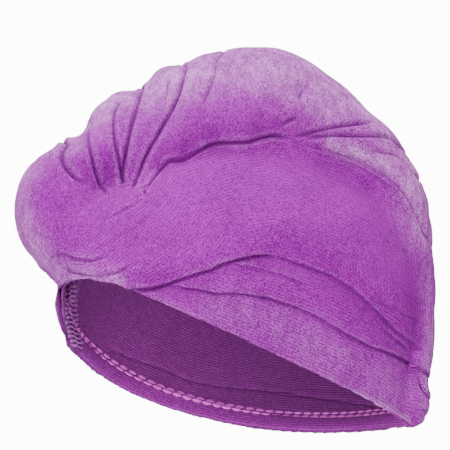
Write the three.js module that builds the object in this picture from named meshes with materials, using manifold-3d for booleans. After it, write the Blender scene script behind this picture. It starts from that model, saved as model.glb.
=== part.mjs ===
// A hair turban towel, as it keeps its form on a head: a velour cap whose front runs into a
// twisted tail. The tail turns over above the forehead, lies on the crown, and goes down the
// back of the head, where an elastic loop holds its tip against the nape.
// Millimetres, +Z up, -Y towards the forehead, +X towards the wearer's left ear.
// The origin is the highest point of the hollow, where the cap sits on the crown of the head.
import * as THREE from 'three';
import Module from 'manifold-3d';

const wasm = await Module();
wasm.setup();

// Driving dimensions of the cap
const rimLength = 204;      // outside, from the forehead to the nape
const rimWidth = 170;       // outside, over the temples
const foreheadDrop = 90;    // from the crown of the head down to the rim at the forehead
const napeDrop = 152.5;      // and down to the rim at the nape
const clothWall = 3;        // velour terry cloth
const foldLift = 5;         // how far the side panel stands off the band below it
const creaseDepth = 1.4;    // how far a crease presses into the cloth
const gatherSwell = 9;      // how far the gathered cloth stands out beside the root of the tail
const gatherSag = 0.5;        // how far its edge hangs below the rim there
const tailBed = 15;         // depth of the hollow behind the head that the tail lies in
const tailBedWidth = 52;    // and its width

// Driving dimensions of the twisted tail
const rollWidth = 108;      // the roll on the crown, from side to side
const rollHeight = 66;      // and from below to above
const grooveDepth = 9;      // of the grooves between its turns

// Driving dimensions of the smaller pieces
const pieceGap = 0.35;      // air between pieces that touch
const hemWidth = 9;         // cloth turned in at the rim
const hemThickness = 1.6;
const seamWidth = 3.4;      // overlocked seam inside the forehead, at its foot
const seamThickness = 6.4;  // and how far it stands off the cloth
const seamLength = 56;
const loopWidth = 9;        // elastic loop round the tip of the tail
const loopThickness = 1.5;

// How finely the surfaces are stepped
const capSteps = 74;
const capRows = 26;
const hollowRows = 10;
const tailSteps = 28;
const tailRows = 72;

// Each row is a section of the cap, from the rim to the top. up is its share of the height from the
// rim to the top; wide is a share of half the rim's width; front and back are shares of half its
// length; square is the power of the superellipse that its front half follows, 2 for an ellipse;
// pinch narrows it towards the nape; bed is a share of the tail's bed.
const capSections = [
  { up: 0.00, wide: 1.09, front: 0.99, back: 0.975, square: 3.2, pinch: 0.80, bed: 0.50 },
  { up: 0.09, wide: 1.07, front: 0.98, back: 0.98, square: 3.1, pinch: 0.60, bed: 0.75 },
  { up: 0.20, wide: 1.04, front: 0.955, back: 0.995, square: 2.9, pinch: 0.35, bed: 0.95 },
  { up: 0.32, wide: 1.01, front: 0.93, back: 1.01, square: 2.6, pinch: 0.15, bed: 1.00 },
  { up: 0.45, wide: 0.98, front: 0.89, back: 1.005, square: 2.3, pinch: 0.05, bed: 1.00 },
  { up: 0.58, wide: 0.92, front: 0.81, back: 0.96, square: 2.1, pinch: 0.00, bed: 0.90 },
  { up: 0.71, wide: 0.82, front: 0.70, back: 0.85, square: 2.0, pinch: 0.00, bed: 0.65 },
  { up: 0.83, wide: 0.67, front: 0.55, back: 0.69, square: 2.0, pinch: 0.00, bed: 0.30 },
  { up: 0.93, wide: 0.46, front: 0.37, back: 0.48, square: 2.0, pinch: 0.00, bed: 0.10 },
  { up: 0.985, wide: 0.24, front: 0.19, back: 0.25, square: 2.0, pinch: 0.00, bed: 0.00 },
  { up: 1.00, wide: 0.00, front: 0.00, back: 0.00, square: 2.0, pinch: 0.00, bed: 0.00 },
];

// Where the side panel overlaps the band, and the crease in the band below it. side is 1 on the
// wearer's left; lift and press are shares of the fold's lift and the crease's depth. round is the
// share of the way from the forehead to the nape, and up the share of the height.
const capFolds = [
  { side: 1, lift: 1.0, press: 1.0, route: [
    { round: 0.30, up: 0.00 }, { round: 0.36, up: 0.065 }, { round: 0.47, up: 0.24 },
    { round: 0.57, up: 0.38 }, { round: 0.64, up: 0.36 }, { round: 0.72, up: 0.28 },
    { round: 0.92, up: 0.21 }] },
  { side: 1, lift: 0.6, press: 1.0, route: [
    { round: 0.36, up: 0.05 }, { round: 0.47, up: 0.13 }, { round: 0.57, up: 0.165 },
    { round: 0.67, up: 0.135 }, { round: 0.86, up: 0.11 }] },
  { side: -1, lift: 0.9, press: 1.0, route: [
    { round: 0.27, up: 0.00 }, { round: 0.36, up: 0.10 }, { round: 0.52, up: 0.33 },
    { round: 0.68, up: 0.36 }, { round: 0.91, up: 0.22 }] },
  { side: -1, lift: 0.6, press: 0.8, route: [
    { round: 0.36, up: 0.05 }, { round: 0.52, up: 0.16 }, { round: 0.66, up: 0.17 },
    { round: 0.84, up: 0.12 }] },
];

// Beside the root of the tail the gathered cloth swells on both sides, where the panels run into it.
// round and up are its middle, across and high its reach, in the same shares.
const gathers = { round: 0.21, up: 0.40, across: 0.12, high: 0.32, sagRound: 0.19, sagHigh: 0.10 };
const foldReach = 26;       // how far above its edge a panel's lift has died away
const foldEnds = { first: 0.06, last: 0.16 };     // over which a fold starts and dies away
const creaseReach = 6;      // half the width of a crease

// Each row is a section of the tail, from its root at the forehead to its tip at the nape. angle is
// its place round the head seen from the wearer's left, in degrees: 0 forward, 90 up, 180 back. stand
// is the height of the section's middle over the cap, and thick its half thickness, as shares of half
// the roll's height. wide is its half width and lean how far it lies to the left, as shares of half
// the roll's width. roll turns the section, in degrees, until its left edge stands further out. droop
// is how far its edges hang down over the cap, as a share of half the roll's height, and full how far
// its under side fills out to the section's whole width, 0 for not at all.
const tailSections = [
  { angle: -2.5, stand: -1.63, thick: 0.94, wide: 1.38, lean: 0.00, roll: 18, droop: 0.00, full: 0.50 },
  { angle: -3.5, stand: -0.95, thick: 0.90, wide: 1.40, lean: 0.00, roll: 18, droop: 0.00, full: 0.50 },
  { angle: 4, stand: -0.15, thick: 0.80, wide: 1.34, lean: 0.00, roll: 17, droop: 0.00, full: 0.70 },
  { angle: 17.5, stand: 0.57, thick: 0.74, wide: 1.18, lean: 0.00, roll: 11, droop: 0.10, full: 0.90 },
  { angle: 32.5, stand: 0.76, thick: 0.70, wide: 1.10, lean: 0.02, roll: 5, droop: 0.45, full: 1.00 },
  { angle: 49.5, stand: 0.74, thick: 0.80, wide: 1.10, lean: 0.03, roll: 0, droop: 0.88, full: 1.00 },
  { angle: 70, stand: 0.98, thick: 0.92, wide: 1.18, lean: 0.03, roll: -2, droop: 0.88, full: 1.00 },
  { angle: 91, stand: 1.04, thick: 1.04, wide: 1.20, lean: 0.02, roll: -2, droop: 0.95, full: 1.00 },
  { angle: 108, stand: 0.88, thick: 0.96, wide: 1.14, lean: 0.00, roll: 0, droop: 0.88, full: 0.90 },
  { angle: 124, stand: 0.66, thick: 0.76, wide: 1.02, lean: 0.00, roll: 0, droop: 0.66, full: 0.70 },
  { angle: 142, stand: 0.63, thick: 0.62, wide: 0.86, lean: -0.02, roll: 0, droop: 0.40, full: 0.40 },
  { angle: 158, stand: 0.54, thick: 0.50, wide: 0.72, lean: -0.02, roll: 0, droop: 0.22, full: 0.20 },
  { angle: 174, stand: 0.32, thick: 0.42, wide: 0.60, lean: -0.01, roll: 0, droop: 0.10, full: 0.10 },
  { angle: 190, stand: 0.19, thick: 0.38, wide: 0.50, lean: 0.00, roll: 0, droop: 0.00, full: 0.00 },
  { angle: 204, stand: 0.16, thick: 0.34, wide: 0.40, lean: 0.01, roll: 0, droop: 0.00, full: 0.00 },
  { angle: 214.5, stand: 0.13, thick: 0.18, wide: 0.26, lean: 0.01, roll: 0, droop: 0.00, full: 0.00 },
  { angle: 219, stand: 0.21, thick: 0.28, wide: 0.33, lean: 0.01, roll: 0, droop: 0.00, full: 0.00 },
  { angle: 223, stand: 0.16, thick: 0.18, wide: 0.24, lean: 0.01, roll: 0, droop: 0.00, full: 0.00 },
];
const loopSection = 15;     // the row above, counted from 0, at which the loop goes round the tail

// The grooves of the twist. at is the row of tailSections where the groove crosses the outer side,
// slant how many rows it falls back on its way down to the wearer's left, deep a share of the
// groove's depth, and broad its half width as a share of the roll's height.
const tailGrooves = [
  { at: 1.90, slant: 0.15, deep: 0.30, broad: 0.08 },
  { at: 3.70, slant: 0.30, deep: 0.80, broad: 0.10 },
  { at: 4.35, slant: 0.22, deep: 0.60, broad: 0.09 },
  { at: 5.05, slant: 0.20, deep: 0.50, broad: 0.09 },
  { at: 5.60, slant: 0.20, deep: 1.00, broad: 0.12 },
  { at: 6.40, slant: 0.30, deep: 0.85, broad: 0.12 },
  { at: 7.10, slant: 0.50, deep: 0.45, broad: 0.11 },
  { at: 8.40, slant: 0.60, deep: 0.30, broad: 0.12 },
  { at: 9.50, slant: 0.60, deep: 0.35, broad: 0.12 },
  { at: 10.60, slant: 0.55, deep: 0.38, broad: 0.10 },
  { at: 11.60, slant: 0.50, deep: 0.34, broad: 0.09 },
  { at: 12.60, slant: 0.50, deep: 0.28, broad: 0.08 },
  { at: 13.60, slant: 0.50, deep: 0.24, broad: 0.07 },
];

// Smooth reading of tables

// A smooth curve through the numbers of one column, at a place counted in rows.
function readColumn(rows, column, place) {
  const last = rows.length - 1;
  const i = Math.min(Math.max(Math.floor(place), 0), last - 1);
  const t = Math.min(Math.max(place - i, 0), 1);
  const [a, b, c, d] = [i - 1, i, i + 1, i + 2].map((n) => rows[Math.min(Math.max(n, 0), last)][column]);
  const slopeIn = (c - a) / 2;
  const slopeOut = (d - b) / 2;
  const t2 = t * t;
  const t3 = t2 * t;
  const between = b * (2 * t3 - 3 * t2 + 1) + c * (3 * t2 - 2 * t3);
  return between + slopeIn * (t3 - 2 * t2 + t) + slopeOut * (t3 - t2);
}

function smoothStep(from, to, value) {
  const t = Math.min(Math.max((value - from) / (to - from), 0), 1);
  return t * t * (3 - 2 * t);
}

// The cap

const crownTop = clothWall;
const capTop = capSections.length - 1;
const dropCurve = 1.6;      // the rim falls faster from the forehead to the ears than behind them
const bedFade = -0.6;       // how far back the tail's bed is fully there, 0 at the ears and -1 at the nape

// How far below the crown of the head the rim lies, at a share of the way from forehead to nape.
function rimDrop(share) {
  return foreheadDrop + (napeDrop - foreheadDrop) * share * (dropCurve - (dropCurve - 1) * share);
}

// A point on the cap's smooth outside. turn is 0 at the forehead, a quarter turn at the left ear and
// half a turn at the nape; place counts rows of capSections.
function smoothCap(turn, place) {
  const read = (column) => readColumn(capSections, column, place);
  const ahead = Math.cos(turn) > 0;
  const power = ahead ? read('square') : 2;
  const swell = (Math.abs(Math.cos(turn)) ** power + Math.abs(Math.sin(turn)) ** power) ** (-1 / power);
  const forward = swell * Math.cos(turn);
  const towardsNape = (1 - forward) / 2;
  const x = rimWidth / 2 * read('wide') * swell * Math.sin(turn) * (1 - read('pinch') * towardsNape ** 2);
  const bedShare = read('bed') * smoothStep(0, bedFade, forward);
  const bed = tailBed * bedShare * Math.exp(-((2 * x / tailBedWidth) ** 2));
  const y = -rimLength / 2 * (ahead ? read('front') : read('back')) * forward - bed;
  const height = crownTop + rimDrop(towardsNape);
  const z = crownTop - height * (1 - read('up'));
  return new THREE.Vector3(x, y, z);
}

// The outward direction of the smooth cap there.
function capNormal(turn, place) {
  const step = 0.01;
  if (place >= capTop) {
    return new THREE.Vector3(0, 0, 1);
  }
  const around = smoothCap(turn + step, place).sub(smoothCap(turn - step, place));
  const [below, above] = [Math.max(place - step, 0), Math.min(place + step, capTop)];
  const upward = smoothCap(turn, above).sub(smoothCap(turn, below));
  return around.cross(upward).normalize();
}

function capPoint(turn, place, outward) {
  return smoothCap(turn, place).addScaledVector(capNormal(turn, place), outward);
}

// How high up a fold's route runs at a share of the way round, or null past its ends.
function routeHeight(route, round) {
  const last = route.length - 1;
  if (round < route[0].round || round > route[last].round) {
    return null;
  }
  const i = Math.min(route.findLastIndex((row) => row.round <= round), last - 1);
  const place = i + (round - route[i].round) / (route[i + 1].round - route[i].round);
  return readColumn(route, 'up', place);
}

// How far the folds push the outside of the cap out, or in.
function foldPush(turn, place) {
  const up = readColumn(capSections, 'up', place);
  const side = Math.sin(turn) >= 0 ? 1 : -1;
  const round = Math.acos(Math.cos(turn)) / Math.PI;
  const height = crownTop + rimDrop((1 - Math.cos(turn)) / 2);
  const beside = ((round - gathers.round) / gathers.across) ** 2 + ((up - gathers.up) / gathers.high) ** 2;
  let push = gatherSwell * Math.exp(-beside);
  for (const fold of capFolds.filter((row) => row.side === side)) {
    const routeUp = routeHeight(fold.route, round);
    if (routeUp === null) {
      continue;
    }
    const [start, end] = [fold.route[0].round, fold.route.at(-1).round];
    const begun = smoothStep(start, start + foldEnds.first, round);
    const ends = begun * smoothStep(end, end - foldEnds.last, round);
    const above = (up - routeUp) * height;
    const lifted = smoothStep(0, creaseReach, above) * Math.exp(-Math.max(above, 0) / foldReach);
    const pressed = Math.exp(-((above / creaseReach) ** 2));
    push += ends * (fold.lift * foldLift * lifted - fold.press * creaseDepth * pressed);
  }
  return push;
}

// A point on the cap's outside with its folds, and with the sag of the gathered cloth at the rim.
function capSkin(turn, place, gap) {
  const point = capPoint(turn, place, foldPush(turn, place) + gap);
  const round = Math.acos(Math.cos(turn)) / Math.PI;
  const beside = ((round - gathers.sagRound) / gathers.across) ** 2;
  const low = readColumn(capSections, 'up', place) / gathers.sagHigh;
  point.z -= gatherSag * Math.exp(-beside - low);
  return point;
}

// Rows of capSections where the rings lie: close together near the rim, where the folds are.
const rimCrowding = 0.28;

function capPlace(ring, rings) {
  const share = ring / rings;
  return capTop * ((1 - rimCrowding) * share + rimCrowding * share * share);
}

function ringOf(steps, point) {
  return Array.from({ length: steps }, (_, i) => point(2 * Math.PI * i / steps));
}

// A closed solid from a first point, rings of equal length, and a last point.
function solidOfRings(first, rings, last) {
  const points = [first, ...rings.flat(), last];
  const steps = rings[0].length;
  const at = (ring, i) => 1 + ring * steps + (i % steps);
  const triangles = [];
  for (let i = 0; i < steps; i += 1) {
    triangles.push([0, at(0, i + 1), at(0, i)]);
    for (let ring = 0; ring < rings.length - 1; ring += 1) {
      triangles.push([at(ring, i), at(ring, i + 1), at(ring + 1, i + 1)]);
      triangles.push([at(ring, i), at(ring + 1, i + 1), at(ring + 1, i)]);
    }
    triangles.push([at(rings.length - 1, i), at(rings.length - 1, i + 1), points.length - 1]);
  }
  return solidOf(points, triangles);
}

// A closed solid from sections that follow one another round a loop. Its faces are split along the
// same diagonals as the hollow's, so that the two lie evenly apart.
function solidOfLoop(sections) {
  const count = sections.length;
  const steps = sections[0].length;
  const at = (section, i) => (section % count) * steps + (i % steps);
  const triangles = [];
  for (let section = 0; section < count; section += 1) {
    for (let i = 0; i < steps; i += 1) {
      triangles.push([at(section, i), at(section, i + 1), at(section + 1, i)]);
      triangles.push([at(section, i + 1), at(section + 1, i + 1), at(section + 1, i)]);
    }
  }
  return solidOf(sections.flat(), triangles);
}

function solidOf(points, triangles) {
  const volume = triangles.reduce((sum, [a, b, c]) => (
    sum + points[a].dot(points[b].clone().cross(points[c]))), 0);
  const outward = volume > 0 ? triangles : triangles.map(([a, b, c]) => [a, c, b]);
  return new wasm.Manifold(new wasm.Mesh({
    numProp: 3,
    vertProperties: Float32Array.from(points.flatMap((p) => [p.x, p.y, p.z])),
    triVerts: Uint32Array.from(outward.flat()),
  }));
}

function capOutsideRing(ring) {
  const place = capPlace(ring, capRows);
  return ringOf(capSteps, (turn) => capSkin(turn, place, 0));
}

// The hollow's second ring lies along the top of the hem, so that the hem follows it closely.
function hollowPlace(ring, turn) {
  const hemTop = placeUp(turn, hemWidth);
  return [0, hemTop][ring] ?? Math.max(hemTop, capPlace(ring, hollowRows));
}

function capHollowRing(ring) {
  return ringOf(capSteps, (turn) => capPoint(turn, hollowPlace(ring, turn), -clothWall));
}

function makeCap() {
  const hollow = Array.from({ length: hollowRows }, (_, i) => capHollowRing(hollowRows - 1 - i));
  const edge = ringOf(capSteps, (turn) => (
    capPoint(turn, 0, -clothWall / 2).add(new THREE.Vector3(0, 0, -clothWall / 3))));
  const outside = Array.from({ length: capRows }, (_, i) => capOutsideRing(i));
  const hollowTop = smoothCap(0, capTop).add(new THREE.Vector3(0, 0, -clothWall));
  return solidOfRings(hollowTop, [...hollow, edge, ...outside], smoothCap(0, capTop));
}

// Everything inside the cap's outside, with a gap round it and down past the rim: what other pieces
// are cut by where they lie on the cap.
function makeCapEnvelope(gap) {
  const below = napeDrop;
  const rings = Array.from({ length: capRows }, (_, i) => {
    const place = capPlace(i, capRows);
    return ringOf(capSteps, (turn) => capSkin(turn, place, gap));
  });
  const skirt = rings[0].map((p) => new THREE.Vector3(p.x, p.y, p.z - below));
  const floor = new THREE.Vector3(0, 0, -napeDrop - below);
  const top = smoothCap(0, capTop).add(new THREE.Vector3(0, 0, gap));
  return solidOfRings(floor, [skirt, ...rings], top);
}

// The twisted tail

// The head's middle, round which the tail's angles turn, as a share of the way down to the rim at the
// forehead.
const headMiddleDown = 0.7;
const headMiddle = new THREE.Vector3(0, 0, crownTop - headMiddleDown * foreheadDrop);

// The cap's outside in the plane of symmetry, from the forehead's rim over the top to the nape's.
const profileSteps = 200;
const capProfile = [
  ...Array.from({ length: profileSteps }, (_, i) => smoothCap(0, capTop * i / profileSteps)),
  ...Array.from({ length: profileSteps + 1 }, (_, i) => smoothCap(Math.PI, capTop * (1 - i / profileSteps))),
];

function angleRoundHead(point) {
  const angle = THREE.MathUtils.radToDeg(Math.atan2(point.z - headMiddle.z, -point.y));
  return angle < -90 ? angle + 360 : angle;
}

// How far the cap's outside is from the head's middle at an angle.
function capReach(angle) {
  const next = Math.max(capProfile.findIndex((point) => angleRoundHead(point) >= angle), 1);
  const [before, after] = [capProfile[next - 1], capProfile[next]];
  const share = (angle - angleRoundHead(before)) / (angleRoundHead(after) - angleRoundHead(before));
  return before.clone().lerp(after, share).distanceTo(headMiddle);
}

const tailMiddles = tailSections.map((row) => {
  const angle = THREE.MathUtils.degToRad(row.angle);
  const reach = capReach(row.angle) + row.stand * rollHeight / 2;
  const outward = new THREE.Vector3(0, -Math.cos(angle), Math.sin(angle));
  const middle = headMiddle.clone().addScaledVector(outward, reach);
  middle.x = row.lean * rollWidth / 2;
  return middle;
});
const lastSection = tailSections.length - 1;

// The tail bends evenly, so its sections are the control points of a cubic B-spline.
function tailBlend(place) {
  const i = Math.min(Math.max(Math.floor(place), 0), lastSection - 1);
  const t = Math.min(Math.max(place - i, 0), 1);
  const weights = [
    (1 - t) ** 3 / 6,
    (3 * t ** 3 - 6 * t ** 2 + 4) / 6,
    (-3 * t ** 3 + 3 * t ** 2 + 3 * t + 1) / 6,
    t ** 3 / 6,
  ];
  return weights.map((weight, n) => ({ weight, row: Math.min(Math.max(i - 1 + n, 0), lastSection) }));
}

function tailMiddle(place) {
  return tailBlend(place).reduce((sum, { weight, row }) => (
    sum.addScaledVector(tailMiddles[row], weight)), new THREE.Vector3());
}

function tailShare(column, place) {
  return tailBlend(place).reduce((sum, { weight, row }) => sum + weight * tailSections[row][column], 0);
}

function tailFrame(place) {
  const step = 0.02;
  const [before, after] = [Math.max(place - step, 0), Math.min(place + step, lastSection)];
  const along = tailMiddle(after).sub(tailMiddle(before)).normalize();
  const level = new THREE.Vector3(1, 0, 0).cross(along).normalize();
  const outward = level.clone().applyAxisAngle(along, -THREE.MathUtils.degToRad(tailShare('roll', place)));
  const side = along.clone().cross(outward);
  return { middle: tailMiddle(place), along, side, outward, level };
}

// How far the under side may reach before it meets itself inside the tail's own bend.
const bendRoom = 0.9;

function underReach(place) {
  const step = 0.1;
  const [before, after] = [Math.max(place - step, 0), Math.min(place + step, lastSection)].map(tailFrame);
  const turned = after.along.clone().sub(before.along);
  const radius = after.middle.distanceTo(before.middle) / before.along.angleTo(after.along);
  return turned.dot(before.level) < 0 ? bendRoom * radius : Infinity;
}

// Millimetres from one section to the next at a place along the tail.
function rowSpacing(place) {
  const step = 0.25;
  const [from, to] = [Math.max(place - step, 0), Math.min(place + step, lastSection)];
  return tailFrame(from).middle.distanceTo(tailFrame(to).middle) / (to - from);
}

// How far the grooves cut in at a place along the tail. angle is 0 on the wearer's left, a quarter
// turn on the outer side and half a turn on the right.
const grooveFade = { from: 0.62 * Math.PI, to: 0.92 * Math.PI };

function grooveShare(place, angle) {
  const fromOuter = Math.atan2(Math.sin(angle - Math.PI / 2), Math.cos(angle - Math.PI / 2));
  const fade = 1 - smoothStep(grooveFade.from, grooveFade.to, Math.abs(fromOuter));
  const spacing = rowSpacing(place);
  let share = 0;
  for (const groove of tailGrooves) {
    const centre = groove.at + groove.slant * fromOuter / (Math.PI / 2);
    const away = Math.abs(place - centre) * spacing / (groove.broad * rollHeight);
    share += groove.deep * Math.exp(-away) * fade;
  }
  return share;
}

const sectionSquareness = 0.86;     // 1 is an ellipse, and less is fuller at the corners
const seatSquareness = 0.3;         // the same below, where the roll's sides hang down onto the cap
const deepestGroove = 0.45;         // of the tail's half thickness

function tailPoint(place, angle, grow) {
  const { middle, side, outward, level } = tailFrame(place);
  const round = (value, power) => Math.sign(value) * Math.abs(value) ** power;
  const halfWidth = tailShare('wide', place) * rollWidth / 2;
  const halfThickness = tailShare('thick', place) * rollHeight / 2;
  const cut = Math.min(grooveDepth * grooveShare(place, angle), deepestGroove * halfThickness);
  const under = tailShare('full', place) * smoothStep(0, -0.5, Math.sin(angle));
  const fullness = THREE.MathUtils.lerp(sectionSquareness, seatSquareness, under);
  const across = (halfWidth + grow - cut) * round(Math.cos(angle), fullness);
  const hang = tailShare('droop', place) * rollHeight / 2 * (Math.sin(angle) > 0 ? Math.cos(angle) ** 2 : 1);
  const out = (halfThickness + grow - cut) * round(Math.sin(angle), sectionSquareness) - hang;
  const offset = side.multiplyScalar(across).addScaledVector(outward, out);
  const beyond = Math.max(-underReach(place) - offset.dot(level), 0);
  return middle.add(offset).addScaledVector(level, beyond);
}

function makeTail(grow) {
  const rings = Array.from({ length: tailRows + 1 }, (_, i) => (
    ringOf(tailSteps, (angle) => tailPoint(lastSection * i / tailRows, angle, grow))));
  const start = tailFrame(0).middle;
  const { middle, side, outward } = tailFrame(lastSection);
  const tipReach = tailShare('thick', lastSection) * rollHeight / 2 + grow;
  const tip = middle.addScaledVector(outward.clone().cross(side), tipReach);
  return solidOfRings(start, rings, tip);
}

// The tail without the thin slivers that a cut may leave.
function largestPiece(solid) {
  return solid.decompose().sort((a, b) => b.volume() - a.volume())[0];
}

// The smaller pieces

// The place in capSections that lies so far up from the rim, measured along the wall.
function placeUp(turn, distance) {
  let place = 0;
  let walked = 0;
  let previous = smoothCap(turn, 0);
  while (walked < distance && place < capTop) {
    place += 0.01;
    const next = smoothCap(turn, place);
    walked += next.distanceTo(previous);
    previous = next;
  }
  return place;
}

const hemSeat = -clothWall - pieceGap;
const rimClearance = 0.6;   // the hem stops just short of the rim's rounded edge

function makeHem() {
  const sections = ringOf(capSteps, (turn) => {
    const low = placeUp(turn, rimClearance);
    const high = placeUp(turn, hemWidth);
    return [
      capPoint(turn, low, hemSeat),
      capPoint(turn, high, hemSeat),
      capPoint(turn, high, hemSeat - hemThickness),
      capPoint(turn, low, hemSeat - hemThickness),
    ];
  });
  return solidOfLoop(sections);
}

// The overlocked seam runs up the inside of the forehead from the top of the hem. It has a section
// wherever the hollow has a ring, and so follows it closely too.
function makeSeam() {
  const [start, end] = [hemWidth + pieceGap, hemWidth + seamLength].map((distance) => placeUp(0, distance));
  const between = Array.from({ length: hollowRows }, (_, ring) => hollowPlace(ring, 0))
    .filter((place) => place > start && place < end);
  const spread = seamWidth / rimWidth;
  const rings = [start, ...between, end].map((place) => (
    [[-spread, 0], [spread, 0], [spread / 2, 1], [-spread / 2, 1]].map(([turn, inward]) => (
      capPoint(turn, place, hemSeat - inward * seamThickness)))));
  const middle = (ring) => ring.reduce((sum, p) => sum.add(p), new THREE.Vector3()).divideScalar(ring.length);
  return solidOfRings(middle(rings[0]), rings, middle(rings.at(-1)));
}

// The elastic loop is a short sleeve round the tail's waist, cut away where the cap is.
function makeLoop(envelope) {
  const halfRows = loopWidth / 2 / rowSpacing(loopSection);
  const sleeve = (grow, reach) => {
    const rings = [-1, 1].map((end) => ringOf(tailSteps, (angle) => (
      tailPoint(loopSection + end * halfRows * reach, angle, grow))));
    const [start, end] = [-1, 1].map((side) => tailFrame(loopSection + side * halfRows * reach).middle);
    return solidOfRings(start, rings, end);
  };
  const loop = sleeve(pieceGap + loopThickness, 1).subtract(sleeve(pieceGap, 1.6)).subtract(envelope);
  return largestPiece(loop);
}

// Assembly

function meshOf(name, solid, colour) {
  const { numProp, vertProperties, triVerts } = solid.getMesh();
  const positions = new Float32Array(vertProperties.length / numProp * 3);
  for (let i = 0; i < positions.length / 3; i += 1) {
    positions.set(vertProperties.subarray(i * numProp, i * numProp + 3), i * 3);
  }
  const geometry = new THREE.BufferGeometry();
  geometry.setAttribute('position', new THREE.BufferAttribute(positions, 3));
  geometry.setIndex(new THREE.BufferAttribute(triVerts, 1));
  geometry.computeVertexNormals();
  const material = new THREE.MeshStandardMaterial({ color: colour, roughness: 0.95, metalness: 0 });
  const mesh = new THREE.Mesh(geometry, material);
  mesh.name = name;
  return mesh;
}

const velourPurple = 0xb058b8;
const hemPurple = 0x8e4891;
const elasticPurple = 0x7c3f80;

const envelope = makeCapEnvelope(pieceGap);
const tail = largestPiece(makeTail(0).subtract(envelope));

const turban = new THREE.Group();
turban.add(
  meshOf('cap', makeCap(), velourPurple),
  meshOf('twisted_tail', tail, velourPurple),
  meshOf('rim_hem', makeHem(), hemPurple),
  meshOf('forehead_seam', makeSeam(), hemPurple),
  meshOf('nape_loop', makeLoop(envelope), elasticPurple),
);

export default turban;
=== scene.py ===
# %% [markdown]
# A hair turban towel is a small cap of stretchy velour with a long tapering tail.
# Damp hair goes into the tail, the tail is twisted into a rope, laid back over the
# crown and held behind by a loop of elastic. This script clothes the plain solids
# of that towel: soft folds, plush velour, a knitted hem with its stitches.

# %% Open the frame
import math

import bmesh
import bpy
import numpy as np
from mathutils import Matrix, Vector, kdtree
from mathutils import noise as noise_field
from mathutils.bvhtree import BVHTree


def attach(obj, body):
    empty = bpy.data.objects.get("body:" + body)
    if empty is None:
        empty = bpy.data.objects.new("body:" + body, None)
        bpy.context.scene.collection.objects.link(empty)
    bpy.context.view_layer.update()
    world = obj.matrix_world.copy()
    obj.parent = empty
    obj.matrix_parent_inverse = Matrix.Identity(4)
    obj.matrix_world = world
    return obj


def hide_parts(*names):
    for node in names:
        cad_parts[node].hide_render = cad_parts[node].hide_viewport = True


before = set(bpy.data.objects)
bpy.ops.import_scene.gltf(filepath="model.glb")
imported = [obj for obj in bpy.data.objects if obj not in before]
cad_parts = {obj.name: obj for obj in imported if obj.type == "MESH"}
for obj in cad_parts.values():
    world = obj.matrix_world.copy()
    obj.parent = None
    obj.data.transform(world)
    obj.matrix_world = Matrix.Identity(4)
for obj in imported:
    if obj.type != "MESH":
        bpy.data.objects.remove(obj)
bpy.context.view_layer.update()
mm = 0.001
print("solids:", sorted(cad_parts))

# %% [markdown]
# The towel is looked at from the wearer's left and from a little below, so that
# the dark hollow shows under the near rim. A long lens from 1.3 m away keeps strong
# perspective out of it. Every place that is drawn further on, such as a fold's line,
# is given in this tilted side view: mm toward the back and mm up from its middle.

# %% Camera
view_middle = Vector((0, -9.35 * mm, -37 * mm))
view_distance = 1.3
view_tilt = math.radians(22)
view_height = 247.5 * mm
sensor_width = 36 * mm

side_toward = Vector((math.cos(view_tilt), 0, -math.sin(view_tilt)))
side_right = Vector((0, 1, 0))
side_up = Vector((math.sin(view_tilt), 0, math.cos(view_tilt)))

camera_data = bpy.data.cameras.new("camera")
camera_data.sensor_width = sensor_width / mm
camera_data.lens = sensor_width / mm * view_distance / view_height
camera_data.clip_end = 20
camera = bpy.data.objects.new("camera", camera_data)
camera.matrix_world = Matrix.Translation(view_middle + side_toward * view_distance) @ Matrix(
    (side_right, side_up, side_toward)
).transposed().to_4x4()
bpy.context.scene.collection.objects.link(camera)
bpy.context.scene.camera = camera
print("lens", round(camera_data.lens, 1), "mm")

# %% [markdown]
# The room is a white studio. One broad soft light hangs overhead and one stands
# beside the camera. A weaker one low down reaches the stitches under the rim, and
# two more graze the towel from the front and from behind. The hollow stays dark
# because little light gets in.

# %% Studio
floor_height = -0.75
floor_size = 12


def soft_light(name, place, aim, size, power, tint=(1, 1, 1)):
    data = bpy.data.lights.new(name, "AREA")
    data.shape = "DISK"
    data.size = size
    data.energy = power
    data.color = tint
    light = bpy.data.objects.new(name, data)
    light.location = place
    light.rotation_euler = (Vector(aim) - Vector(place)).to_track_quat("-Z", "Y").to_euler()
    bpy.context.scene.collection.objects.link(light)
    return light


def plain_floor():
    shape = bmesh.new()
    bmesh.ops.create_grid(shape, x_segments=1, y_segments=1, size=floor_size / 2)
    bmesh.ops.translate(shape, verts=shape.verts, vec=(0, 0, floor_height))
    mesh = bpy.data.meshes.new("floor")
    shape.to_mesh(mesh)
    shape.free()
    floor = bpy.data.objects.new("floor", mesh)
    bpy.context.scene.collection.objects.link(floor)
    paint = bpy.data.materials.new("pale floor")
    paint.use_nodes = True
    finish = paint.node_tree.nodes["Principled BSDF"]
    finish.inputs["Base Color"].default_value = (0.9, 0.9, 0.9, 1)
    finish.inputs["Roughness"].default_value = 0.9
    mesh.materials.append(paint)
    return floor


def white_room(seen, shining):
    world = bpy.data.worlds.new("white room")
    bpy.context.scene.world = world
    world.use_nodes = True
    nodes, links = world.node_tree.nodes, world.node_tree.links
    nodes.clear()
    output = nodes.new("ShaderNodeOutputWorld")
    mix = nodes.new("ShaderNodeMixShader")
    path = nodes.new("ShaderNodeLightPath")
    for socket, strength in ((1, shining), (2, seen)):
        glow = nodes.new("ShaderNodeBackground")
        glow.inputs["Strength"].default_value = strength
        glow.inputs["Color"].default_value = (1, 1, 1, 1)
        links.new(glow.outputs[0], mix.inputs[socket])
    links.new(path.outputs["Is Camera Ray"], mix.inputs[0])
    links.new(mix.outputs[0], output.inputs[0])


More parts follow.
